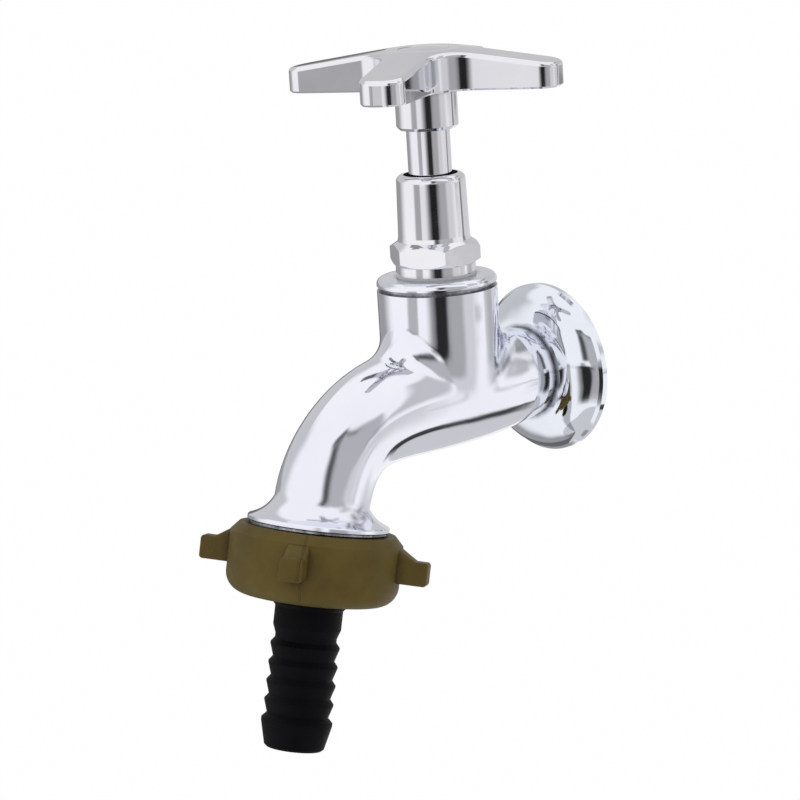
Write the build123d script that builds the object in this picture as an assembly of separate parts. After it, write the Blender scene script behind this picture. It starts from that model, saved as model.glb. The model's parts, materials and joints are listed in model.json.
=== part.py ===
from build123d import *
import math
import os

# A chromed screw-down garden tap with a wall flange and a hose coupling.
# Millimetres. The wall is the plane y = 0 and the tap stands out along -Y.
# The inlet axis is the Y axis, +Z is up, and the valve is drawn shut.

# How far a cut or a joined end runs past the face that it meets
PAST = 1.0

# Outside radii of the standard pipe threads
INLET_THREAD_R = 20.955 / 2
BONNET_THREAD_R = 16.662 / 2
OUTLET_THREAD_R = 33.249 / 2
SCREW_FIT = 0.05
RUNNING_FIT = 0.05

# Body: barrel round the stem axis, inlet arm towards the wall, spout outwards
STEM_Y = -36.5
BARREL_R = 15.0
BARREL_TOP = 29.8
BARREL_STRAIGHT_LOW = 12.0
BARREL_WAIST_R = 13.7
BARREL_FOOT = -9.5
GROOVE_LOW = 26.7
GROOVE_HIGH = 27.9
GROOVE_DEPTH = 1.3
COLLAR_ROUND = 1.5
ARM_ROOT_R = 13.9
ARM_INNER_R = 13.7
ARM_MIDDLE_R = 13.3
ARM_SHOULDER_R = 12.55
ARM_END_R = 11.4
ARM_INNER_Y = -29.0
ARM_MIDDLE_Y = -22.0
ARM_SHOULDER_Y = -15.0
ARM_END_Y = -8.3
INLET_SHANK_R = 10.1
INLET_THREAD_START = -1.0
INLET_THREAD_LENGTH = 9.5
THREAD_CHAMFER = 0.9
THREAD_RUNOUT = 0.4
JUNCTION_FILLET = 8.5

# Outlet: centre of the rim's lower face, and its lean away from the wall
OUTLET_Y = -79.8
OUTLET_Z = -25.2
OUTLET_TILT = 13.2
SPOUT_LEVEL_PULL = 24.5
SPOUT_DOWN_PULL = 23.8
SPOUT_SHOULDER_AT = 0.25
SPOUT_SHOULDER_R = 13.4
SPOUT_MIDDLE_AT = 0.5
SPOUT_MIDDLE_R = 12.0
SPOUT_WAIST_AT = 0.7
SPOUT_WAIST_R = 11.5
SPOUT_ANKLE_AT = 0.85
SPOUT_ANKLE_R = 11.7
SPOUT_END_R = 12.2
RIM_R = 17.4
RIM_HEIGHT = 1.3
RIM_CHAMFER = 0.25
RIM_SLOPE_WIDTH = 1.0
RIM_SLOPE_RISE = 0.3
FLARE_HEIGHT = 10.0
FLARE_MIDDLE_R = 13.0
FLARE_MIDDLE_HEIGHT = 3.9
FLARE_TOP_R = 10.7
OUTLET_THREAD_LENGTH = 11.0
OUTLET_BORE_R = 11.0

# Waterway, seat and valve chamber
INLET_BORE_R = 7.0
INLET_BORE_END_Y = -12.0
LOW_BORE_R = 6.0
LOW_BORE_Z = -3.0
LOW_CHAMBER_R = 7.0
LOW_CHAMBER_Z = -4.0
SEAT_HOLE_R = 5.0
SEAT_LIP_R = 6.2
SEAT_Z = 6.6
CHAMBER_FLOOR = 5.5
CHAMBER_R = 11.0
CHAMBER_TOP = 19.5
PORT_Y = -45.2
PORT_Z = 10.6
PORT_R = 4.8
PORT_LEAN = 45.0
SPOUT_BORE_START_Y = -51.5
SPOUT_BORE_START_Z = 4.4
SPOUT_BORE_START_R = 6.7
SPOUT_BORE_START_LEAN = 30.0
SPOUT_BORE_WAIST_AT = 0.75
SPOUT_WALL = 3.1
OUTLET_BORE_TOP = -1.5

# Bonnet, also called the headwork
GASKET_THICKNESS = 0.7
BONNET_NOSE_LOW = 20.0
NECK_R = 9.95
HEX_CORNER_R = 11.8
HEX_LOW = 32.8
HEX_FACE_LOW = 34.0
HEX_FACE_HIGH = 37.0
HEX_SHOULDER = 38.2
HEX_CORNER_CLEAR = 0.05
SHANK_COVE_WIDTH = 0.2
SHANK_COVE_LOW = 38.8
SHANK_LOW = 39.9
SHANK_HIGH = 53.4
SHANK_LOW_R = 8.9
SHANK_HIGH_R = 8.6
SHANK_SHOULDER_Z = 54.6
SHANK_SHOULDER_R = 8.25
BONNET_TOP = 55.2
BONNET_MOUTH_R = 7.2
GLAND_BORE_R = 6.8
GLAND_FLOOR = 46.0
SPINDLE_THREAD_R = 6.3
SPINDLE_THREAD_TOP = 44.0

# Gland pieces, from the bottom up
GLAND_WASHER_TOP = 46.8
GLAND_PACKING_TOP = 49.8
GLAND_NUT_TOP = 53.2
GLAND_SLOT_WIDTH = 2.0
GLAND_SLOT_DEPTH = 1.2

# Spindle and handle
STEM_R = 5.4
SPINDLE_FOOT_R = 5.6
SPINDLE_FOOT_Z = 11.65
SPINDLE_THREAD_LOW = 26.0
SPINDLE_THREAD_HIGH = 38.0
SQUARE_LOW = 68.0
SQUARE_HIGH = 80.3
SQUARE_SIDE = 7.6
JUMPER_SOCKET_TOP = 25.0
HANDLE_SCREW_R = 2.5
HANDLE_SCREW_LOW = 71.0
SCREW_HEAD_R = 4.6
SCREW_HEAD_EDGE = 0.9
SCREW_HEAD_CROWN_R = 3.4
SCREW_HEAD_CROWN = 2.1
SCREW_HEAD_HEIGHT = 2.3
SCREW_SLOT_LENGTH = 4.4
SCREW_SLOT_WIDTH = 0.9
SCREW_SLOT_DEPTH = 1.1
LOCK_WASHER_R = 5.2
LOCK_WASHER_HOLE_GAP = 0.15
LOCK_WASHER_THICKNESS = 1.1
LOCK_WASHER_SPLIT = 0.7
LOCK_WASHER_SPLIT_LEAN = 25.0
BOSS_R = 7.7
BOSS_LOW = 66.4
BOSS_CHAMFER = 0.8
HANDLE_LOW = 76.2
HANDLE_HUB_TOP = 86.1
HANDLE_HUB_FLAT_R = 9.5
HANDLE_TIP_TOP = 82.3
HANDLE_REACH = 34.9
ARM_HALF_WIDTH_TIP = 5.6
ARM_HALF_WIDTH_HUB = 6.5
ARM_CROTCH_FILLET = 9.5
ARM_TIP_FILLET = 4.6
HANDLE_ROUND = 1.2
HANDLE_UNDER_BEVEL = 0.5
HANDLE_TURN = 29.0
CAP_RECESS_R = 6.3
CAP_RECESS_FLOOR = 81.0
CAP_SKIRT_LOW = 82.4
CAP_SKIRT_BORE_R = 5.3
CAP_THICKNESS = 0.6
CAP_RISE = 0.5

# Jumper: the plate that carries the tap washer
JUMPER_PLATE_R = 7.3
JUMPER_PLATE_LOW = 9.65
JUMPER_PIN_R = 3.0
JUMPER_PIN_TOP = 24.0
JUMPER_STUD_R = 2.0
JUMPER_STUD_LOW = 3.7
TAP_WASHER_R = 7.1
TAP_WASHER_LOW = 6.65
WASHER_NUT_FLATS = 7.0
WASHER_NUT_LOW = 4.3

# Wall flange
FLANGE_R = 21.6
FLANGE_RIM_WIDTH = 2.4
FLANGE_RIM_HEIGHT = 1.5
FLANGE_RIM_BEVEL = 0.7
FLANGE_SHEET = 1.0
FLANGE_HUB_R = 13.0
FLANGE_HOLE_GAP = 0.15
FLANGE_DOME_R = 17.8
FLANGE_DOME_Y = 6.3
FLANGE_HOLLOW_R = 16.2
FLANGE_HOLLOW_Y = 5.6
FLANGE_HOLLOW_EDGE_Y = 2.4

# Hose coupling, measured down the outlet axis from the rim's lower face
NUT_TOP = 0.8
NUT_BOTTOM = 18.0
NUT_R = 21.2
NUT_TOP_R = 19.2
NUT_SHOULDER = 3.0
NUT_ROUND = 5.0
NUT_WEB_TOP = 15.4
NUT_HOLE_R = 9.3
LUG_COUNT = 4
LUG_REACH = 28.4
LUG_WIDTH = 5.6
LUG_TOP = 5.7
LUG_BOTTOM = 11.5
LUG_WEB_R = 25.0
LUG_TURN = 37.5
LUG_ROUND = 0.9
LUG_ROOT = 2.5
LUG_WEB_INSET = 0.4
HOSE_WASHER_TOP = 11.05
HOSE_WASHER_BOTTOM = 13.05
HOSE_WASHER_R = 15.9
HOSE_WASHER_BORE_R = 8.0
TAIL_TOP = 13.1
TAIL_FLANGE_BOTTOM = 15.3
TAIL_NECK_R = 9.1
TAIL_COLLAR_R = 8.35
TAIL_NECK_BOTTOM = 19.5
TAIL_COLLAR_TOP = 20.3
TAIL_COLLAR_BOTTOM = 25.0
TAIL_ROOT_TOP = 27.2
TAIL_ROOT_R = 7.55
TAIL_RIDGE_R = 8.5
TAIL_LAST_RIDGE_R = 8.75
TAIL_FIRST_RIDGE = 29.4
TAIL_RIDGE_PITCH = 4.65
TAIL_RIDGE_COUNT = 4
TAIL_RIDGE_STEP = 1.2
TAIL_RIDGE_LAND = 0.4
TAIL_LAST_LAND = 0.8
TAIL_BOTTOM = 55.0
TAIL_NOSE_R = 7.4
TAIL_NOSE_BEVEL_R = 0.6
TAIL_NOSE_BEVEL = 0.5
TAIL_BORE_R = 6.0

STEM_AXIS = Pos(0, STEM_Y, 0)
OUTLET = Location((0, OUTLET_Y, OUTLET_Z), (-OUTLET_TILT, 0, 0))


def rod(radius, low, high):
    """Solid cylinder on the Z axis between two heights."""
    return Pos(0, 0, low) * Cylinder(radius, high - low, align=(Align.CENTER, Align.CENTER, Align.MIN))


def ring(outer, inner, low, high):
    """Plain ring on the Z axis between two heights."""
    return rod(outer, low, high) - rod(inner, low - PAST, high + PAST)


def turned(*pieces):
    """Body of revolution about Z from a closed outline of lines and arcs in (radius, height)."""
    outline = Face(Wire(list(pieces)))
    flat = Plane.XZ * outline
    return revolve(flat, axis=Axis.Z)


def turned_polygon(points):
    """Body of revolution about Z from a closed polygon in (radius, height)."""
    return revolve(Plane.XZ * Face(Wire(Polyline(*points, close=True).edges())), axis=Axis.Z)


def to_inlet(shape):
    """Turns a shape built on +Z so that it lies on the inlet axis, +Z becoming +Y."""
    return Rot(-90, 0, 0) * shape


def spout_spine():
    """Centre line of the spout, level at the barrel and leaning at the outlet."""
    lean = math.radians(OUTLET_TILT)
    pull_y = OUTLET_Y + SPOUT_DOWN_PULL * math.sin(lean)
    pull_z = OUTLET_Z + SPOUT_DOWN_PULL * math.cos(lean)
    return Bezier(
        (0, STEM_Y, 0),
        (0, STEM_Y - SPOUT_LEVEL_PULL, 0),
        (0, pull_y, pull_z),
        (0, OUTLET_Y, OUTLET_Z),
    )


def spout_circle(spine, place, radius):
    """Circle square to the spine at a place between 0 and 1."""
    return Plane(origin=spine @ place, z_dir=spine % place) * Circle(radius)


def barrel():
    """Upright barrel that narrows into the tube, its hidden foot half an ellipse turned round the stem."""
    foot = EllipticalCenterArc((0, 0), BARREL_WAIST_R, -BARREL_FOOT, start_angle=270, arc_size=90)
    waist = TangentArc((BARREL_R, BARREL_STRAIGHT_LOW), (BARREL_WAIST_R, 0), tangent=(0, -1))
    side = Line((BARREL_R, BARREL_STRAIGHT_LOW), (BARREL_R, BARREL_TOP - COLLAR_ROUND))
    centre = (BARREL_R - COLLAR_ROUND, BARREL_TOP - COLLAR_ROUND)
    edge = CenterArc(centre, COLLAR_ROUND, start_angle=0, arc_size=90)
    top = Line((BARREL_R - COLLAR_ROUND, BARREL_TOP), (0, BARREL_TOP))
    middle = Line((0, BARREL_TOP), (0, BARREL_FOOT))
    return STEM_AXIS * turned(foot, waist, side, edge, top, middle)


def arm_circle(y, radius):
    """Circle square to the inlet axis."""
    return Plane(origin=(0, y, 0), z_dir=(0, -1, 0)) * Circle(radius)


def arm_and_spout():
    """One tube of changing radius, from the flange under the barrel to the rim."""
    spine = spout_spine()
    return loft([
        arm_circle(ARM_END_Y, ARM_END_R),
        arm_circle(ARM_SHOULDER_Y, ARM_SHOULDER_R),
        arm_circle(ARM_MIDDLE_Y, ARM_MIDDLE_R),
        arm_circle(ARM_INNER_Y, ARM_INNER_R),
        spout_circle(spine, 0.0, ARM_ROOT_R),
        spout_circle(spine, SPOUT_SHOULDER_AT, SPOUT_SHOULDER_R),
        spout_circle(spine, SPOUT_MIDDLE_AT, SPOUT_MIDDLE_R),
        spout_circle(spine, SPOUT_WAIST_AT, SPOUT_WAIST_R),
        spout_circle(spine, SPOUT_ANKLE_AT, SPOUT_ANKLE_R),
        spout_circle(spine, 1.0, SPOUT_END_R),
    ])


def junction(shape):
    """Edges of the loop where the barrel stands on the tube."""
    found = []
    for edge in shape.edges():
        middle = edge.center()
        curved = edge.geom_type not in (GeomType.CIRCLE, GeomType.LINE)
        if curved and abs(middle.Y - STEM_Y) < BARREL_R and BARREL_FOOT < middle.Z < BARREL_TOP:
            found.append(edge)
    return found


def outlet_end():
    """Flared rim and threaded nipple below it, built on the outlet axis."""
    flare_foot = (RIM_R - RIM_SLOPE_WIDTH, RIM_HEIGHT + RIM_SLOPE_RISE)
    flare = ThreePointArc((FLARE_TOP_R, FLARE_HEIGHT), (FLARE_MIDDLE_R, FLARE_MIDDLE_HEIGHT), flare_foot)
    rim = Polyline(
        flare_foot,
        (RIM_R - RIM_CHAMFER, RIM_HEIGHT),
        (RIM_R, RIM_HEIGHT - RIM_CHAMFER),
        (RIM_R, RIM_CHAMFER),
        (RIM_R - RIM_CHAMFER, 0),
        (OUTLET_THREAD_R, 0),
        (OUTLET_THREAD_R, THREAD_CHAMFER - OUTLET_THREAD_LENGTH),
        (OUTLET_THREAD_R - THREAD_CHAMFER, -OUTLET_THREAD_LENGTH),
        (0, -OUTLET_THREAD_LENGTH),
        (0, FLARE_HEIGHT),
        (FLARE_TOP_R, FLARE_HEIGHT),
    )
    return OUTLET * turned(flare, *rim.edges())


def leaning_circle(y, z, lean, radius):
    """Circle across the waterway where it runs outwards and down."""
    angle = math.radians(lean)
    return Plane(origin=(0, y, z), z_dir=(0, -math.cos(angle), -math.sin(angle))) * Circle(radius)


def waterway():
    """Everything the water fills, from the inlet thread to the outlet nipple."""
    inlet = to_inlet(rod(INLET_BORE_R, INLET_BORE_END_Y, INLET_THREAD_LENGTH + PAST))
    low_bore = Pos(0, 0, LOW_BORE_Z) * to_inlet(rod(LOW_BORE_R, STEM_Y, INLET_BORE_END_Y + PAST))
    low_chamber = Pos(0, STEM_Y, LOW_CHAMBER_Z) * Sphere(LOW_CHAMBER_R)
    seat_hole = STEM_AXIS * rod(SEAT_HOLE_R, LOW_CHAMBER_Z, SEAT_Z + PAST)
    chamber = STEM_AXIS * ring(CHAMBER_R, SEAT_LIP_R, CHAMBER_FLOOR, SEAT_Z)
    chamber += STEM_AXIS * rod(CHAMBER_R, SEAT_Z, CHAMBER_TOP)
    bonnet_hole = STEM_AXIS * rod(BONNET_THREAD_R + SCREW_FIT, CHAMBER_TOP - PAST, BARREL_TOP + PAST)
    spine = spout_spine()
    passage = loft([
        leaning_circle(PORT_Y, PORT_Z, PORT_LEAN, PORT_R),
        leaning_circle(SPOUT_BORE_START_Y, SPOUT_BORE_START_Z, SPOUT_BORE_START_LEAN, SPOUT_BORE_START_R),
        spout_circle(spine, SPOUT_MIDDLE_AT, SPOUT_WAIST_R - SPOUT_WALL),
        spout_circle(spine, SPOUT_BORE_WAIST_AT, SPOUT_WAIST_R - SPOUT_WALL),
        spout_circle(spine, 1.0, SPOUT_END_R - SPOUT_WALL),
    ])
    nipple = OUTLET * rod(OUTLET_BORE_R, -OUTLET_THREAD_LENGTH - PAST, OUTLET_BORE_TOP)
    return inlet + low_bore + low_chamber + seat_hole + chamber + bonnet_hole + passage + nipple


def tap_body():
    """One brass casting: barrel, arm, spout, rim, nipple and inlet thread."""
    shell = barrel() + arm_and_spout()
    shell = shell.fillet(JUNCTION_FILLET, junction(shell))
    shell += outlet_end()
    shell += to_inlet(turned_polygon([
        (0, ARM_END_Y - PAST),
        (INLET_SHANK_R, ARM_END_Y - PAST),
        (INLET_SHANK_R, INLET_THREAD_START - THREAD_RUNOUT),
        (INLET_THREAD_R, INLET_THREAD_START),
        (INLET_THREAD_R, INLET_THREAD_LENGTH - THREAD_CHAMFER),
        (INLET_THREAD_R - THREAD_CHAMFER, INLET_THREAD_LENGTH),
        (0, INLET_THREAD_LENGTH),
    ]))
    shell -= STEM_AXIS * ring(BARREL_R + PAST, BARREL_R - GROOVE_DEPTH, GROOVE_LOW, GROOVE_HIGH)
    return shell - waterway()


def wall_flange():
    """Domed sheet flange, loose on the inlet thread and held against the wall."""
    hub_y = -ARM_END_Y
    hole = INLET_THREAD_R + FLANGE_HOLE_GAP
    bevel_end = (FLANGE_R - FLANGE_RIM_BEVEL, FLANGE_RIM_HEIGHT + FLANGE_RIM_BEVEL)
    outer = Polyline(
        (FLANGE_R - FLANGE_RIM_WIDTH, 0),
        (FLANGE_R, 0),
        (FLANGE_R, FLANGE_RIM_HEIGHT),
        bevel_end,
    )
    dome = ThreePointArc(bevel_end, (FLANGE_DOME_R, FLANGE_DOME_Y), (FLANGE_HUB_R, hub_y))
    hub = Polyline((FLANGE_HUB_R, hub_y), (hole, hub_y), (hole, hub_y - FLANGE_SHEET))
    inner_end = (FLANGE_R - FLANGE_RIM_WIDTH, FLANGE_HOLLOW_EDGE_Y)
    inner = ThreePointArc((hole, hub_y - FLANGE_SHEET), (FLANGE_HOLLOW_R, FLANGE_HOLLOW_Y), inner_end)
    back = Line(inner_end, (FLANGE_R - FLANGE_RIM_WIDTH, 0))
    shape = turned(*outer.edges(), dome, *hub.edges(), inner, back)
    return Rot(90, 0, 0) * shape


def bonnet_gasket():
    """Fibre washer between the bonnet's neck and the top of the barrel."""
    top = BARREL_TOP + GASKET_THICKNESS
    return STEM_AXIS * ring(NECK_R, BONNET_THREAD_R + SCREW_FIT, BARREL_TOP, top)


def bonnet():
    """Hexagon, neck, threaded nose and tall shank turned from one bar."""
    neck_low = BARREL_TOP + GASKET_THICKNESS
    flats = Pos(0, 0, HEX_LOW) * extrude(
        RegularPolygon(HEX_CORNER_R, 6, rotation=30), SHANK_LOW - HEX_LOW
    )
    limit = turned_polygon([
        (0, HEX_LOW),
        (NECK_R, HEX_LOW),
        (HEX_CORNER_R + HEX_CORNER_CLEAR, HEX_FACE_LOW),
        (HEX_CORNER_R + HEX_CORNER_CLEAR, HEX_FACE_HIGH),
        (NECK_R, HEX_SHOULDER),
        (SHANK_LOW_R + SHANK_COVE_WIDTH, SHANK_COVE_LOW),
        (SHANK_LOW_R, SHANK_LOW),
        (0, SHANK_LOW),
    ])
    lower = rod(BONNET_THREAD_R, BONNET_NOSE_LOW, neck_low) + rod(NECK_R, neck_low, HEX_LOW)
    shank_side = Line((SHANK_LOW_R, SHANK_LOW), (SHANK_HIGH_R, SHANK_HIGH))
    shoulder = ThreePointArc(
        (SHANK_HIGH_R, SHANK_HIGH), (SHANK_SHOULDER_R, SHANK_SHOULDER_Z), (BONNET_MOUTH_R, BONNET_TOP)
    )
    core = ((BONNET_MOUTH_R, BONNET_TOP), (0, BONNET_TOP), (0, SHANK_LOW), (SHANK_LOW_R, SHANK_LOW))
    shank = turned(shank_side, shoulder, *Polyline(*core).edges())
    thread_bore = rod(SPINDLE_THREAD_R + RUNNING_FIT, BONNET_NOSE_LOW - PAST, SPINDLE_THREAD_TOP)
    stem_bore = rod(STEM_R + RUNNING_FIT, SPINDLE_THREAD_TOP - PAST, BONNET_TOP)
    gland_bore = rod(GLAND_BORE_R, GLAND_FLOOR, BONNET_TOP + PAST)
    return STEM_AXIS * (lower + (flats & limit) + shank - thread_bore - stem_bore - gland_bore)


def gland_piece(low, high):
    """Ring that fits between the stem and the gland bore."""
    return STEM_AXIS * ring(GLAND_BORE_R - RUNNING_FIT, STEM_R + RUNNING_FIT, low, high)


def gland_nut():
    """Threaded ring with two slots for a pin key, pressing on the packing."""
    nut = gland_piece(GLAND_PACKING_TOP, GLAND_NUT_TOP)
    slot = Box(2 * GLAND_BORE_R, GLAND_SLOT_WIDTH, 2 * GLAND_SLOT_DEPTH)
    return nut - STEM_AXIS * Pos(0, 0, GLAND_NUT_TOP) * slot


def spindle():
    """Rising spindle: socket for the jumper, thread, stem and square end."""
    shape = rod(SPINDLE_FOOT_R, SPINDLE_FOOT_Z, SPINDLE_THREAD_LOW)
    shape += rod(SPINDLE_THREAD_R, SPINDLE_THREAD_LOW, SPINDLE_THREAD_HIGH)
    shape += rod(STEM_R, SPINDLE_THREAD_HIGH, SQUARE_LOW)
    square = Pos(0, 0, SQUARE_LOW) * Box(
        SQUARE_SIDE, SQUARE_SIDE, SQUARE_HIGH - SQUARE_LOW, align=(Align.CENTER, Align.CENTER, Align.MIN)
    )
    shape += Rot(0, 0, HANDLE_TURN) * square
    shape -= rod(JUMPER_PIN_R + RUNNING_FIT, SPINDLE_FOOT_Z - PAST, JUMPER_SOCKET_TOP)
    shape -= rod(HANDLE_SCREW_R + SCREW_FIT, HANDLE_SCREW_LOW - PAST, SQUARE_HIGH + PAST)
    return STEM_AXIS * shape


def jumper():
    """Loose plate with a guide pin above it and a threaded stud below it."""
    shape = rod(JUMPER_PIN_R, SPINDLE_FOOT_Z - RUNNING_FIT, JUMPER_PIN_TOP)
    shape += rod(JUMPER_PLATE_R, JUMPER_PLATE_LOW, SPINDLE_FOOT_Z - RUNNING_FIT)
    shape += rod(JUMPER_STUD_R, JUMPER_STUD_LOW, JUMPER_PLATE_LOW)
    return STEM_AXIS * shape


def tap_washer():
    """Rubber washer that closes on the seat."""
    hole = JUMPER_STUD_R + SCREW_FIT
    return STEM_AXIS * ring(TAP_WASHER_R, hole, TAP_WASHER_LOW, JUMPER_PLATE_LOW)


def washer_nut():
    """Small hexagon nut that holds the tap washer to the jumper."""
    corner = WASHER_NUT_FLATS / math.sqrt(3)
    height = TAP_WASHER_LOW - WASHER_NUT_LOW
    hexagon = Pos(0, 0, WASHER_NUT_LOW) * extrude(RegularPolygon(corner, 6), height)
    return STEM_AXIS * (hexagon - rod(JUMPER_STUD_R + SCREW_FIT, 0, TAP_WASHER_LOW + PAST))


def handle_outline():
    """Plan of the cross: four tapered arms with hollow corners between them."""
    arm = Polygon(
        (0, -ARM_HALF_WIDTH_HUB),
        (HANDLE_REACH, -ARM_HALF_WIDTH_TIP),
        (HANDLE_REACH, ARM_HALF_WIDTH_TIP),
        (0, ARM_HALF_WIDTH_HUB),
        align=None,
    )
    cross = arm
    for quarter in (1, 2, 3):
        cross += Rot(0, 0, 90 * quarter) * arm
    crotches = [v for v in cross.vertices() if math.hypot(v.X, v.Y) < HANDLE_REACH / 2]
    cross = fillet(crotches, ARM_CROTCH_FILLET)
    tips = [v for v in cross.vertices() if math.hypot(v.X, v.Y) > HANDLE_REACH - ARM_TIP_FILLET]
    return fillet(tips, ARM_TIP_FILLET)


def upright(edge):
    """Whether an edge runs up and down."""
    box = edge.bounding_box().size
    return box.Z > max(box.X, box.Y)


def off_axis(edge):
    """Distance of an edge's middle from the Z axis."""
    middle = edge.position_at(0.5)
    return math.hypot(middle.X, middle.Y)


def cross_handle():
    """Cast cross with a shallow conical top, a boss below and a square socket."""
    plate = Pos(0, 0, HANDLE_LOW) * extrude(handle_outline(), HANDLE_HUB_TOP - HANDLE_LOW)
    slope = (HANDLE_HUB_TOP - HANDLE_TIP_TOP) / (HANDLE_REACH - HANDLE_HUB_FLAT_R)
    beyond = HANDLE_REACH + HANDLE_ROUND
    cone = turned_polygon([
        (0, HANDLE_LOW),
        (beyond, HANDLE_LOW),
        (beyond, HANDLE_TIP_TOP - slope * HANDLE_ROUND),
        (HANDLE_HUB_FLAT_R, HANDLE_HUB_TOP),
        (0, HANDLE_HUB_TOP),
    ])
    shape = plate & cone
    outer = [e for e in shape.edges() if not upright(e) and off_axis(e) > HANDLE_HUB_FLAT_R]
    halfway = (HANDLE_LOW + HANDLE_TIP_TOP) / 2
    shape = shape.fillet(HANDLE_ROUND, [e for e in outer if e.center().Z > halfway])
    under = [e for e in shape.edges() if e.bounding_box().max.Z < halfway]
    shape = shape.chamfer(HANDLE_UNDER_BEVEL, None, under)
    boss = turned_polygon([
        (0, BOSS_LOW),
        (BOSS_R - BOSS_CHAMFER, BOSS_LOW),
        (BOSS_R, BOSS_LOW + BOSS_CHAMFER),
        (BOSS_R, HANDLE_LOW + PAST),
        (0, HANDLE_LOW + PAST),
    ])
    socket = Pos(0, 0, SQUARE_LOW) * Box(
        SQUARE_SIDE + 2 * RUNNING_FIT,
        SQUARE_SIDE + 2 * RUNNING_FIT,
        CAP_RECESS_FLOOR - SQUARE_LOW + PAST,
        align=(Align.CENTER, Align.CENTER, Align.MIN),
    )
    shape = shape + boss - socket
    shape -= rod(STEM_R + RUNNING_FIT, BOSS_LOW - PAST, SQUARE_LOW)
    shape -= rod(CAP_RECESS_R, CAP_RECESS_FLOOR, HANDLE_HUB_TOP + PAST)
    return STEM_AXIS * Rot(0, 0, HANDLE_TURN) * shape


def lock_washer():
    """Split spring washer under the head of the handle screw."""
    hole = HANDLE_SCREW_R + LOCK_WASHER_HOLE_GAP
    shape = ring(LOCK_WASHER_R, hole, CAP_RECESS_FLOOR, CAP_RECESS_FLOOR + LOCK_WASHER_THICKNESS)
    cut = Box(
        LOCK_WASHER_R + PAST,
        LOCK_WASHER_SPLIT,
        4 * LOCK_WASHER_THICKNESS,
        align=(Align.MIN, Align.CENTER, Align.CENTER),
    )
    return STEM_AXIS * (shape - Pos(0, 0, CAP_RECESS_FLOOR) * Rot(LOCK_WASHER_SPLIT_LEAN, 0, 0) * cut)


def handle_screw():
    """Cross-slotted screw that pulls the handle down on the square."""
    head_low = CAP_RECESS_FLOOR + LOCK_WASHER_THICKNESS
    head_top = head_low + SCREW_HEAD_HEIGHT
    head = turned_polygon([
        (0, head_low),
        (SCREW_HEAD_R, head_low),
        (SCREW_HEAD_R, head_low + SCREW_HEAD_EDGE),
        (SCREW_HEAD_CROWN_R, head_low + SCREW_HEAD_CROWN),
        (0, head_top),
    ])
    shape = head + rod(HANDLE_SCREW_R, HANDLE_SCREW_LOW, head_low)
    for turn in (0, 90):
        slot = Box(SCREW_SLOT_LENGTH, SCREW_SLOT_WIDTH, 2 * SCREW_SLOT_DEPTH)
        shape -= Pos(0, 0, head_top) * Rot(0, 0, turn) * slot
    return STEM_AXIS * shape


def index_cap():
    """Blank domed cap that closes the recess over the screw."""
    radius = CAP_RECESS_R - RUNNING_FIT
    skirt = ring(radius, CAP_SKIRT_BORE_R, CAP_SKIRT_LOW, HANDLE_HUB_TOP - CAP_THICKNESS)
    crown = HANDLE_HUB_TOP + CAP_RISE
    dome_radius = (radius ** 2 + CAP_RISE ** 2) / (2 * CAP_RISE)
    halfway = crown - dome_radius + math.sqrt(dome_radius ** 2 - radius ** 2 / 4)
    edge = Polyline(
        (0, crown),
        (0, HANDLE_HUB_TOP - CAP_THICKNESS),
        (radius, HANDLE_HUB_TOP - CAP_THICKNESS),
        (radius, HANDLE_HUB_TOP),
    )
    dome = ThreePointArc((radius, HANDLE_HUB_TOP), (radius / 2, halfway), (0, crown))
    return STEM_AXIS * (skirt + turned(*edge.edges(), dome))


def nut_lug():
    """One wing of the coupling nut, with a sloping web above it."""
    side = Plane.XZ * Polygon(
        (NUT_R - LUG_ROOT, -NUT_SHOULDER),
        (NUT_R - LUG_WEB_INSET, -NUT_SHOULDER),
        (LUG_WEB_R, -LUG_TOP),
        (LUG_REACH, -LUG_TOP),
        (LUG_REACH, -LUG_BOTTOM),
        (NUT_R - LUG_ROOT, -LUG_BOTTOM),
        align=None,
    )
    lug = extrude(side, LUG_WIDTH / 2, both=True)
    return lug.fillet(LUG_ROUND, [e for e in lug.edges() if e.center().X > NUT_R])


def coupling_nut():
    """Union nut with four wings, threaded inside, with a web that carries the tail."""
    shape = turned(
        Line((0, -NUT_TOP), (NUT_TOP_R, -NUT_TOP)),
        Line((NUT_TOP_R, -NUT_TOP), (NUT_R, -NUT_SHOULDER)),
        Line((NUT_R, -NUT_SHOULDER), (NUT_R, NUT_ROUND - NUT_BOTTOM)),
        ThreePointArc(
            (NUT_R, NUT_ROUND - NUT_BOTTOM),
            (NUT_R - NUT_ROUND * (1 - math.sqrt(0.5)), NUT_ROUND * (1 - math.sqrt(0.5)) - NUT_BOTTOM),
            (NUT_R - NUT_ROUND, -NUT_BOTTOM),
        ),
        Line((NUT_R - NUT_ROUND, -NUT_BOTTOM), (0, -NUT_BOTTOM)),
        Line((0, -NUT_BOTTOM), (0, -NUT_TOP)),
    )
    for wing in range(LUG_COUNT):
        shape += Rot(0, 0, LUG_TURN + wing * 360 / LUG_COUNT) * nut_lug()
    shape -= rod(OUTLET_THREAD_R + SCREW_FIT, -NUT_WEB_TOP, 0)
    shape -= rod(NUT_HOLE_R, -NUT_BOTTOM - PAST, 0)
    return OUTLET * shape


def hose_washer():
    """Flat rubber washer between the nipple and the tail."""
    return OUTLET * ring(HOSE_WASHER_R, HOSE_WASHER_BORE_R, -HOSE_WASHER_BOTTOM, -HOSE_WASHER_TOP)


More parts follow.
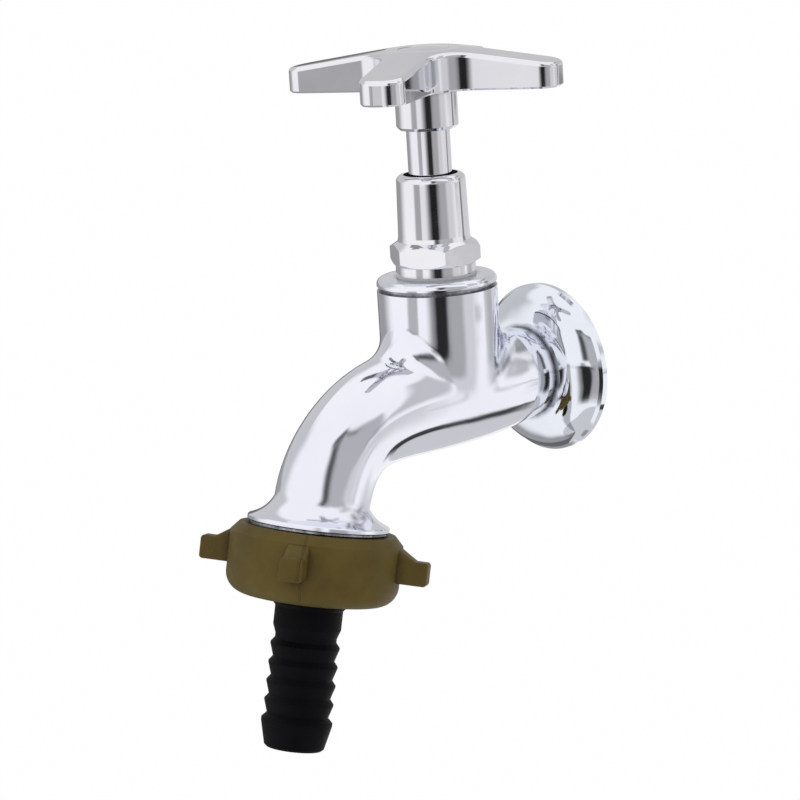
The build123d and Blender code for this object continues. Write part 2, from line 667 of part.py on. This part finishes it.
def hose_tail():
    """Ribbed tail for the hose, flanged at the top so that the nut holds it."""
    outline = [
        (TAIL_BORE_R, -TAIL_TOP),
        (HOSE_WASHER_R, -TAIL_TOP),
        (HOSE_WASHER_R, -TAIL_FLANGE_BOTTOM),
        (TAIL_NECK_R, -TAIL_FLANGE_BOTTOM),
        (TAIL_NECK_R, -TAIL_NECK_BOTTOM),
        (TAIL_COLLAR_R, -TAIL_COLLAR_TOP),
        (TAIL_COLLAR_R, -TAIL_COLLAR_BOTTOM),
        (TAIL_ROOT_R, -TAIL_ROOT_TOP),
    ]
    for number in range(TAIL_RIDGE_COUNT):
        tip = TAIL_FIRST_RIDGE + number * TAIL_RIDGE_PITCH
        outline.append((TAIL_ROOT_R, TAIL_RIDGE_STEP - tip))
        outline.append((TAIL_RIDGE_R, -tip))
        outline.append((TAIL_RIDGE_R, -tip - TAIL_RIDGE_LAND))
    last = TAIL_FIRST_RIDGE + TAIL_RIDGE_COUNT * TAIL_RIDGE_PITCH
    outline += [
        (TAIL_ROOT_R, TAIL_RIDGE_STEP - last),
        (TAIL_LAST_RIDGE_R, -last),
        (TAIL_LAST_RIDGE_R, -last - TAIL_LAST_LAND),
        (TAIL_NOSE_R, TAIL_NOSE_BEVEL - TAIL_BOTTOM),
        (TAIL_NOSE_R - TAIL_NOSE_BEVEL_R, -TAIL_BOTTOM),
        (TAIL_BORE_R, -TAIL_BOTTOM),
    ]
    return OUTLET * turned_polygon(outline)


PIECES = {
    "tap_body": tap_body,
    "wall_flange": wall_flange,
    "bonnet_gasket": bonnet_gasket,
    "bonnet": bonnet,
    "gland_washer": lambda: gland_piece(GLAND_FLOOR, GLAND_WASHER_TOP),
    "gland_packing": lambda: gland_piece(GLAND_WASHER_TOP, GLAND_PACKING_TOP),
    "gland_nut": gland_nut,
    "spindle": spindle,
    "jumper": jumper,
    "tap_washer": tap_washer,
    "washer_nut": washer_nut,
    "cross_handle": cross_handle,
    "lock_washer": lock_washer,
    "handle_screw": handle_screw,
    "index_cap": index_cap,
    "coupling_nut": coupling_nut,
    "hose_washer": hose_washer,
    "hose_tail": hose_tail,
}

os.makedirs("parts", exist_ok=True)
for name, make in PIECES.items():
    export_step(make(), "parts/" + name + ".step")
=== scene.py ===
import json
import math

import bpy
from mathutils import Matrix, Vector

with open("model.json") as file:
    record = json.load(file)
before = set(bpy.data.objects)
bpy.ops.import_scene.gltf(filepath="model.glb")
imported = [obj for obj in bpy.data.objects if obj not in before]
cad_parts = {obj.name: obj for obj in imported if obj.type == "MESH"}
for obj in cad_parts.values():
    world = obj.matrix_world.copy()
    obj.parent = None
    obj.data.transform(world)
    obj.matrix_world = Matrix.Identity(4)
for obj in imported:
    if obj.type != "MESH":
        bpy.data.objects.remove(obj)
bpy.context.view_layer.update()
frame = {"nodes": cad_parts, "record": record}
scene = bpy.context.scene

X_AXIS = Vector((1, 0, 0))
Y_AXIS = Vector((0, 1, 0))
Z_AXIS = Vector((0, 0, 1))

# Camera: azimuth from -Y towards +X, elevation above the horizon, and a slight roll
CAMERA_AZIMUTH = math.radians(48.95)
CAMERA_ELEVATION = math.radians(12.21)
CAMERA_ROLL = math.radians(3.54)
CAMERA_DISTANCE = 0.8
CAMERA_TARGET = Vector((0, -0.050, 0))
CAMERA_SLIDE_RIGHT = -0.00079
CAMERA_SLIDE_UP = 0.00036
CAMERA_LENS = 145.34
CAMERA_SENSOR = 36
CAMERA_CLIP = (0.01, 50)

# Floor: height, half its side, its colour, and how much of it is seen as plain white
FLOOR_Z = -1.2
FLOOR_REACH = 30.0
FLOOR_COLOUR = (0.9, 0.9, 0.9, 1)
FLOOR_WHITE = 0.94

WHITE = (1, 1, 1, 1)

# Outlet: middle of the rim's lower face, and the lean of its axis away from the wall
OUTLET = Vector((0, -0.0798, -0.0252))
OUTLET_LEAN = math.radians(13.2)
OUTLET_DOWN = Vector((0, -math.sin(OUTLET_LEAN), -math.cos(OUTLET_LEAN)))
OUTLET_IN = Vector((0, math.cos(OUTLET_LEAN), -math.sin(OUTLET_LEAN)))

# Creases that the casting has as soft blends: where, how far the blend reaches and fades, and its radius
BARREL_ON_TUBE = {
    "centre": Vector((0, -0.0365, 0.002)), "reach": 0.019, "fade": 0.003, "radius": 0.004,
}
FLARE_ON_SPOUT = {
    "centre": OUTLET - OUTLET_DOWN * 0.008, "reach": 0.0155, "fade": 0.002, "radius": 0.003,
}

# Standard pipe threads. Each starts at a height along its own axis and lies outside a core radius.
INLET_THREAD = {
    "origin": Vector((0, 0, 0)), "axis": Y_AXIS, "side": X_AXIS, "other": Z_AXIS,
    "pitch": 0.001814, "depth": 0.00116, "start": -0.0012, "core": 0.0085,
}
OUTLET_THREAD = {
    "origin": OUTLET, "axis": OUTLET_DOWN, "side": X_AXIS, "other": OUTLET_IN,
    "pitch": 0.002309, "depth": 0.00148, "start": 0.0008, "core": 0.0135,
}
THREAD_RUN_IN = 0.0004
THREAD_CORE_FADE = 0.0002

# Mould lines: half width, height, and the angle of each about the outlet's axis
MOULD_LINE_WIDTH = 0.00022
MOULD_LINE_HEIGHT = 0.0003
NUT_MOULD_ANGLE = math.radians(311.6)
TAIL_MOULD_ANGLE = math.radians(41.6)

# Noise patterns: scale, detail and roughness
PATCHES = (45, 4, 0.5)
WIPES = (160, 5, 0.65)
STREAKS = (420, 4, 0.6)
WAVES = (90, 1, 0.5)
CLOUDS = (70, 5, 0.6)

# Painted shade in corners: its colour on metal and on the nut, reach out of a corner, and how closed in
# counts as a corner
METAL_PAINTED_SHADE = (0.04, 0.04, 0.045)
NUT_PAINTED_SHADE = (0.020, 0.012, 0.005)
METAL_CORNER = 0.0022
PLASTIC_CORNER = 0.004
CLOSED_IN = 0.30
OPEN = 0.90


def add_camera():
    """Camera at the photograph's place."""
    azimuth, elevation, roll = CAMERA_AZIMUTH, CAMERA_ELEVATION, CAMERA_ROLL
    back = Vector((
        math.sin(azimuth) * math.cos(elevation),
        -math.cos(azimuth) * math.cos(elevation),
        math.sin(elevation),
    ))
    level_right = Vector((math.cos(azimuth), math.sin(azimuth), 0))
    level_up = back.cross(level_right)
    right = level_right * math.cos(roll) - level_up * math.sin(roll)
    up = level_right * math.sin(roll) + level_up * math.cos(roll)
    place = CAMERA_TARGET + back * CAMERA_DISTANCE
    place += right * CAMERA_SLIDE_RIGHT + up * CAMERA_SLIDE_UP
    data = bpy.data.cameras.new("camera")
    data.lens = CAMERA_LENS
    data.sensor_width = CAMERA_SENSOR
    data.clip_start, data.clip_end = CAMERA_CLIP
    camera = bpy.data.objects.new("camera", data)
    turn = Matrix((right, up, back)).transposed()
    camera.matrix_world = Matrix.Translation(place) @ turn.to_4x4()
    scene.collection.objects.link(camera)
    scene.camera = camera


class Tree:
    """Short ways to add and join shader nodes."""

    def __init__(self, tree):
        self.tree = tree
        tree.nodes.clear()

    def add(self, kind, **settings):
        node = self.tree.nodes.new(kind)
        for key, value in settings.items():
            setattr(node, key, value)
        return node

    def join(self, out, into):
        self.tree.links.new(out, into)

    def feed(self, node, *values):
        """Fills a node's inputs in order with sockets or plain values."""
        for slot, value in zip(node.inputs, values):
            if isinstance(value, bpy.types.NodeSocket):
                self.join(value, slot)
            else:
                slot.default_value = value
        return node.outputs[0]

    def calc(self, operation, *values):
        return self.feed(self.add("ShaderNodeMath", operation=operation), *values)

    def vector(self, operation, *values):
        return self.feed(self.add("ShaderNodeVectorMath", operation=operation), *values)

    def times(self, *values):
        total = values[0]
        for value in values[1:]:
            total = self.calc("MULTIPLY", total, value)
        return total

    def dot(self, vector, fixed):
        node = self.add("ShaderNodeVectorMath", operation="DOT_PRODUCT")
        self.feed(node, vector, fixed)
        return node.outputs["Value"]

    def span(self, value, start, end, low=0.0, high=1.0, smooth=False):
        """Maps start to end on to low to high."""
        kind = "SMOOTHSTEP" if smooth else "LINEAR"
        node = self.add("ShaderNodeMapRange", interpolation_type=kind)
        return self.feed(node, value, start, end, low, high)

    def above(self, value, place, soft):
        return self.span(value, place - soft, place + soft, smooth=True)

    def below(self, value, place, soft):
        return self.span(value, place - soft, place + soft, 1.0, 0.0, smooth=True)


class Studio:
    """White surroundings with darker cards in them, laid out in degrees about the tap.

    Across counts to the right of the camera's own direction, and height above the horizon.
    """

    def __init__(self, tree):
        self.tree = tree
        way = tree.add("ShaderNodeTexCoord").outputs["Generated"]
        right = (math.cos(CAMERA_AZIMUTH), math.sin(CAMERA_AZIMUTH), 0)
        front = (math.sin(CAMERA_AZIMUTH), -math.cos(CAMERA_AZIMUTH), 0)
        across = tree.calc("ARCTAN2", tree.dot(way, right), tree.dot(way, front))
        self.across = tree.calc("DEGREES", across)
        self.height = tree.calc("DEGREES", tree.calc("ARCSINE", tree.dot(way, Z_AXIS)))
        self.level = 1.0

    def card(self, shade, left=None, right=None, low=None, high=None,
             soft=(3, 3, 3, 3), lean=(0, 0), tilt=(0, 0)):
        """Darkens what lies between up to four soft edges.

        The upright edges lean with height, and the level ones tilt across.
        """
        t = self.tree
        edges = (
            (left, t.above, self.across, self.height, lean[0]),
            (right, t.below, self.across, self.height, lean[1]),
            (low, t.above, self.height, self.across, tilt[0]),
            (high, t.below, self.height, self.across, tilt[1]),
        )
        masks = []
        for (place, side, measure, other, slope), fade in zip(edges, soft):
            if place is not None:
                masks.append(side(t.calc("MULTIPLY_ADD", other, -slope, measure), place, fade))
        keep = t.calc("MULTIPLY_ADD", t.times(*masks), shade - 1.0, 1.0)
        self.level = t.calc("MULTIPLY", self.level, keep)


def lay_out_studio(studio):
    """Cards and flags round the tap, each at the place where the plating mirrors it."""
    card = studio.card
    # Dim room behind the tap
    card(0.36, right=-115, high=4, soft=(1, 19, 1, 3))
    card(0.42, right=-161, high=4, soft=(1, 5, 1, 3))
    card(0.70, left=104, low=-22, high=4, soft=(10, 1, 3, 3))
    card(0.60, left=110, low=4, high=42, soft=(12, 1, 3, 4))
    card(0.62, right=-104, low=4, high=42, soft=(1, 14, 3, 6))
    # Dark things behind it on the right
    card(0.35, left=101, right=115, low=-1, high=21, soft=(4, 4, 4, 5))
    card(0.55, left=104, right=144, low=33, high=38, soft=(6, 6, 2, 2))
    card(0.55, left=86, right=92, low=6, high=32, soft=(2, 2, 5, 4), lean=(0.45, 0.45))
    # Narrow grey stand to the left
    card(0.50, left=-61, right=-40, high=-3, soft=(4, 2.5, 1, 2))
    card(0.86, left=-62, right=-16, low=-8, high=-4, soft=(8, 3, 1, 2))
    # Black flag in front, below the horizon, with a softer left side and a band along its top
    card(0.24, left=-18, right=19, low=-40, high=-3, soft=(9, 5, 9, 2))
    card(0.10, left=-7, right=15, low=-40, high=-3, soft=(4, 4, 9, 2))
    card(0.45, left=-12, right=24, low=-6.5, high=-3, soft=(5, 6, 1, 1.5))
    # Grey card to the right of it
    card(0.62, left=18, right=48, low=-40, high=2, soft=(4, 6, 9, 2))
    card(0.70, left=18, right=74, low=-40, high=2, soft=(4, 9, 9, 2))
    # Low strips on the far right, mirrored by the upright faces of barrel, bonnet and handle
    card(0.62, left=73, right=91, low=-10.6, high=-8.6, soft=(3, 3, 0.5, 0.7))
    card(0.70, left=98, right=124, low=-16, high=-9, soft=(4, 4, 2, 1))
    card(0.30, left=104, right=113, low=-9, high=-4, soft=(3, 3, 1, 1))
    card(0.34, left=123, right=148, low=-7.1, high=-6.5, soft=(3, 3, 0.1, 0.2))
    card(0.55, left=79, right=100, low=-6.95, high=-6.2, soft=(3, 3, 0.1, 0.3))
    card(0.80, left=86, right=100, low=-8.7, high=-7.0, soft=(3, 3, 0.3, 0.2))
    # The flag and the grey card above the horizon
    card(0.40, left=-8, right=4, low=-3, high=3, soft=(4, 6, 1, 2))
    card(0.40, left=-2, right=17, low=7, high=51, soft=(4, 3, 3, 1.5))
    card(0.22, left=2, right=13, low=8, high=44, soft=(4, 4, 4, 5))
    card(0.35, left=-4, right=21, low=45, high=50, soft=(6, 4, 4, 2))
    card(0.50, left=16, right=62, low=2, high=62, soft=(3, 1.5, 2, 3), lean=(0, -0.3), tilt=(0, -0.66))
    card(0.60, left=20, right=38, low=57, high=61, soft=(3, 5, 2, 1), tilt=(-0.66, -0.66))
    # Grey panel further to the right
    card(0.60, left=54, right=86, low=9, high=47, soft=(2, 4, 5, 4), lean=(0.36, 0))
    # Edge of the table below, and the table itself
    card(0.06, left=85, right=124, low=-60.5, high=-52.5, soft=(4, 14, 1.5, 1.2), tilt=(0.15, 0.15))
    card(0.66, high=-57, soft=(1, 1, 1, 1.5), tilt=(0, 0.15))


def add_world():
    """Plain white light, and for mirror reflections the studio with its cards."""
    world = bpy.data.worlds.new("studio")
    world.use_nodes = True
    scene.world = world
    t = Tree(world.node_tree)
    studio = Studio(t)
    lay_out_studio(studio)
    grey = t.feed(t.add("ShaderNodeCombineColor"), studio.level, studio.level, studio.level)
    mirrored = t.feed(t.add("ShaderNodeBackground"), grey)
    plain = t.feed(t.add("ShaderNodeBackground"), WHITE)
    is_glossy = t.add("ShaderNodeLightPath").outputs["Is Glossy Ray"]
    light = t.feed(t.add("ShaderNodeMixShader"), is_glossy, plain, mirrored)
    t.join(light, t.add("ShaderNodeOutputWorld").inputs[0])


class Surface(Tree):
    """A material under construction."""

    def __init__(self, name):
        self.slot = name
        self.material = bpy.data.materials.new(name)
        self.material.use_nodes = True
        super().__init__(self.material.node_tree)
        self.shader = self.add("ShaderNodeBsdfPrincipled")
        self.join(self.shader.outputs[0], self.add("ShaderNodeOutputMaterial").inputs[0])
        self.place = self.add("ShaderNodeTexCoord").outputs["Object"]
        self.normal = None

    def put(self, socket, value):
        self.shader.inputs[socket].default_value = value

    def link(self, value, socket):
        self.join(value, self.shader.inputs[socket])

    def noise(self, scale, detail, rough):
        node = self.add("ShaderNodeTexNoise")
        node.inputs["Scale"].default_value = scale
        node.inputs["Detail"].default_value = detail
        node.inputs["Roughness"].default_value = rough
        self.join(self.place, node.inputs["Vector"])
        return node.outputs["Fac"]

    def tones(self, value, dark, light, low, high):
        """Colour that wanders between two tones."""
        ramp = self.add("ShaderNodeValToRGB")
        first, last = ramp.color_ramp.elements
        first.position, first.color = low, (*dark, 1)
        last.position, last.color = high, (*light, 1)
        self.join(value, ramp.inputs[0])
        return ramp.outputs[0]

    def blend(self, value, colour, other):
        """Mixes one colour towards another fixed one."""
        mix = self.add("ShaderNodeMix", data_type="RGBA")
        self.join(value, mix.inputs["Factor"])
        self.join(colour, mix.inputs["A"])
        mix.inputs["B"].default_value = (*other, 1)
        return mix.outputs["Result"]

    def crevice(self, reach):
        """One where neighbouring surfaces close in, nought in the open."""
        node = self.add("ShaderNodeAmbientOcclusion", samples=8, only_local=False)
        node.inputs["Distance"].default_value = reach
        return self.span(node.outputs["AO"], CLOSED_IN, OPEN, 1.0, 0.0, smooth=True)

    def bump(self, value, strength, distance):
        node = self.add("ShaderNodeBump")
        node.inputs["Strength"].default_value = strength
        node.inputs["Distance"].default_value = distance
        self.join(value, node.inputs["Height"])
        if self.normal is not None:
            self.join(self.normal, node.inputs["Normal"])
        self.normal = node.outputs[0]
        self.link(self.normal, "Normal")

    def scaled(self, vector, factor):
        node = self.add("ShaderNodeVectorMath", operation="SCALE")
        self.join(vector, node.inputs["Vector"])
        self.join(factor, node.inputs["Scale"])
        return node.outputs[0]

    def soften(self, centre, reach, fade, radius):
        """Rounds the creases near a place."""
        distance = self.add("ShaderNodeVectorMath", operation="DISTANCE")
        self.feed(distance, self.place, centre)
        here = self.below(distance.outputs["Value"], reach, fade)
        rounded = self.add("ShaderNodeBevel", samples=12)
        rounded.inputs["Radius"].default_value = radius
        if self.normal is None:
            self.normal = self.add("ShaderNodeNewGeometry").outputs["Normal"]
        near = self.scaled(rounded.outputs[0], here)
        far = self.scaled(self.normal, self.calc("SUBTRACT", 1.0, here))
        self.normal = self.vector("NORMALIZE", self.vector("ADD", near, far))

    def thread(self, origin, axis, side, other, pitch, depth, start, core):
        """Helical thread round an axis, beyond a start and outside a core radius."""
        local = self.vector("SUBTRACT", self.place, origin)
        along = self.dot(local, axis)
        u = self.dot(local, side)
        v = self.dot(local, other)
        turns = self.calc("DIVIDE", self.calc("ARCTAN2", v, u), 2 * math.pi)
        phase = self.calc("MULTIPLY_ADD", along, 1 / pitch, turns)
        ridge = self.calc("MULTIPLY", self.calc("PINGPONG", phase, 0.5), 2.0)
        radius = self.calc("SQRT", self.calc("ADD", self.times(u, u), self.times(v, v)))
        begun = self.above(along, start, THREAD_RUN_IN)
        outside = self.above(radius, core, THREAD_CORE_FADE)
        self.bump(self.times(ridge, self.times(begun, outside)), 1.0, depth)


def metal(name, dark, light, smooth, dull, ripple=0.02, painted_shade=None, joints=()):
    """Plated or bare metal with faint waviness, wiping marks and painted shade in its corners."""
    s = Surface(name)
    s.put("Metallic", 1.0)
    patches = s.noise(*PATCHES)
    wipes = s.noise(*WIPES)
    colour = s.tones(patches, dark, light, 0.35, 0.65)
    rough = s.span(s.times(patches, wipes), 0.1, 0.45, smooth, dull)
    # Painted shade: the colour darkens where neighbouring surfaces close in, streaked by noise; the same
    # mask also raises the roughness
    if painted_shade is not None:
        closed = s.crevice(METAL_CORNER)
        streaky = s.span(s.noise(*STREAKS), 0.3, 0.7, 0.55, 1.0)
        painted_shade_mask = s.times(closed, streaky)
        colour = s.blend(painted_shade_mask, colour, painted_shade)
        rough = s.calc("MULTIPLY_ADD", painted_shade_mask, 0.30, rough)
    s.link(colour, "Base Color")
    s.link(rough, "Roughness")
    for joint in joints:
        s.soften(**joint)
    s.bump(s.noise(*WAVES), ripple, 0.001)
    return s


def plastic(name, dark, light, rough, grain, grain_height, gloss=0.5, hollow_shade=None):
    """Moulded plastic, rubber or fibre with clouded colour, a fine grain and, where asked, painted shade
    in its corners.
    """
    s = Surface(name)
    colour = s.tones(s.noise(*CLOUDS), dark, light, 0.3, 0.7)
    # Painted shade: the colour darkens where neighbouring surfaces close in, as round the nut's lugs and
    # under the spout's rim
    if hollow_shade is not None:
        colour = s.blend(s.times(s.crevice(PLASTIC_CORNER), 0.8), colour, hollow_shade)
    s.link(colour, "Base Color")
    fine = s.noise(grain, 3, 0.5)
    s.link(s.span(fine, 0.2, 0.8, rough - 0.08, rough + 0.10), "Roughness")
    s.put("Specular IOR Level", gloss)
    s.bump(fine, 0.35, grain_height)
    return s


def mould_line(s, angle):
    """Fine raised line where the halves of the mould met, in a plane through the outlet's axis."""
    across = X_AXIS * -math.sin(angle) + OUTLET_IN * math.cos(angle)
    off = s.calc("ABSOLUTE", s.dot(s.vector("SUBTRACT", s.place, OUTLET), across))
    s.bump(s.below(off, MOULD_LINE_WIDTH, MOULD_LINE_WIDTH), 1.0, MOULD_LINE_HEIGHT)


def body_material():
    s = metal(
        "chrome_body", (0.82, 0.83, 0.91), (0.86, 0.87, 0.94), smooth=0.03, dull=0.09,
        ripple=0.14, painted_shade=METAL_PAINTED_SHADE, joints=(BARREL_ON_TUBE, FLARE_ON_SPOUT),
    )
    s.thread(**INLET_THREAD)
    s.thread(**OUTLET_THREAD)
    return s


def nut_material():
    s = plastic(
        "olive_plastic", (0.080, 0.054, 0.013), (0.112, 0.082, 0.021),
        rough=0.42, grain=1500, grain_height=0.00005, gloss=0.1, hollow_shade=NUT_PAINTED_SHADE,
    )
    mould_line(s, NUT_MOULD_ANGLE)
    return s


def tail_material():
    s = plastic(
        "black_plastic", (0.0015, 0.0015, 0.0024), (0.0035, 0.0035, 0.0045),
        rough=0.50, grain=1600, grain_height=0.00005, gloss=0.06,
    )
    mould_line(s, TAIL_MOULD_ANGLE)
    return s


def make_materials():
    """One material for each slot of the record."""
    found = [
        body_material(),
        metal(
            "chrome_bonnet", (0.82, 0.82, 0.87), (0.86, 0.86, 0.90),
            smooth=0.03, dull=0.10, painted_shade=METAL_PAINTED_SHADE,
        ),
        metal(
            "chrome_handle", (0.80, 0.80, 0.85), (0.84, 0.84, 0.88),
            smooth=0.04, dull=0.12, painted_shade=METAL_PAINTED_SHADE,
        ),
        metal(
            "chrome_flange", (0.78, 0.81, 0.88), (0.83, 0.86, 0.92),
            smooth=0.03, dull=0.10, ripple=0.70, painted_shade=METAL_PAINTED_SHADE,
        ),
        metal("chrome_spindle", (0.81, 0.81, 0.86), (0.85, 0.85, 0.89), smooth=0.03, dull=0.08),
        metal("chrome_cap", (0.82, 0.82, 0.88), (0.86, 0.86, 0.91), smooth=0.05, dull=0.14),
        metal("brass", (0.60, 0.45, 0.20), (0.72, 0.57, 0.30), smooth=0.14, dull=0.34, ripple=0.05),
        metal("steel_screw", (0.52, 0.52, 0.54), (0.62, 0.62, 0.64), smooth=0.20, dull=0.42, ripple=0.05),
        nut_material(),
        tail_material(),
        plastic(
            "grey_fibre", (0.38, 0.38, 0.40), (0.52, 0.52, 0.54),
            rough=0.80, grain=900, grain_height=0.00015,
        ),
        plastic(
            "graphite_packing", (0.07, 0.07, 0.08), (0.12, 0.12, 0.13),
            rough=0.50, grain=1400, grain_height=0.0001,
        ),
        plastic(
            "black_rubber", (0.035, 0.035, 0.035), (0.06, 0.06, 0.06),
            rough=0.65, grain=1800, grain_height=0.00005,
        ),
    ]
    return {surface.slot: surface.material for surface in found}


def dress_cad(materials):
    """Gives every CAD node the material of its slot."""
    for entry in frame["record"]["subparts"]:
        mesh = frame["nodes"][entry["node"]].data
        mesh.materials.clear()
        mesh.materials.append(materials[entry["material_slot"]])


def add_floor():
    """Pale floor below the tap, left out of mirror reflections."""
    mesh = bpy.data.meshes.new("floor")
    corners = [
        (side * FLOOR_REACH, end * FLOOR_REACH, FLOOR_Z)
        for side, end in ((-1, -1), (1, -1), (1, 1), (-1, 1))
    ]
    mesh.from_pydata(corners, [], [(0, 1, 2, 3)])
    floor = bpy.data.objects.new("floor", mesh)
    scene.collection.objects.link(floor)
    material = bpy.data.materials.new("floor")
    material.use_nodes = True
    t = Tree(material.node_tree)
    matt = t.feed(t.add("ShaderNodeBsdfDiffuse"), FLOOR_COLOUR)
    white = t.feed(t.add("ShaderNodeEmission"), WHITE)
    is_camera = t.add("ShaderNodeLightPath").outputs["Is Camera Ray"]
    mixed = t.feed(t.add("ShaderNodeMixShader"), t.times(is_camera, FLOOR_WHITE), matt, white)
    t.join(mixed, t.add("ShaderNodeOutputMaterial").inputs[0])
    mesh.materials.append(material)
    floor.visible_glossy = False


add_camera()
add_world()
dress_cad(make_materials())
add_floor()
scene.view_settings.view_transform = "Standard"
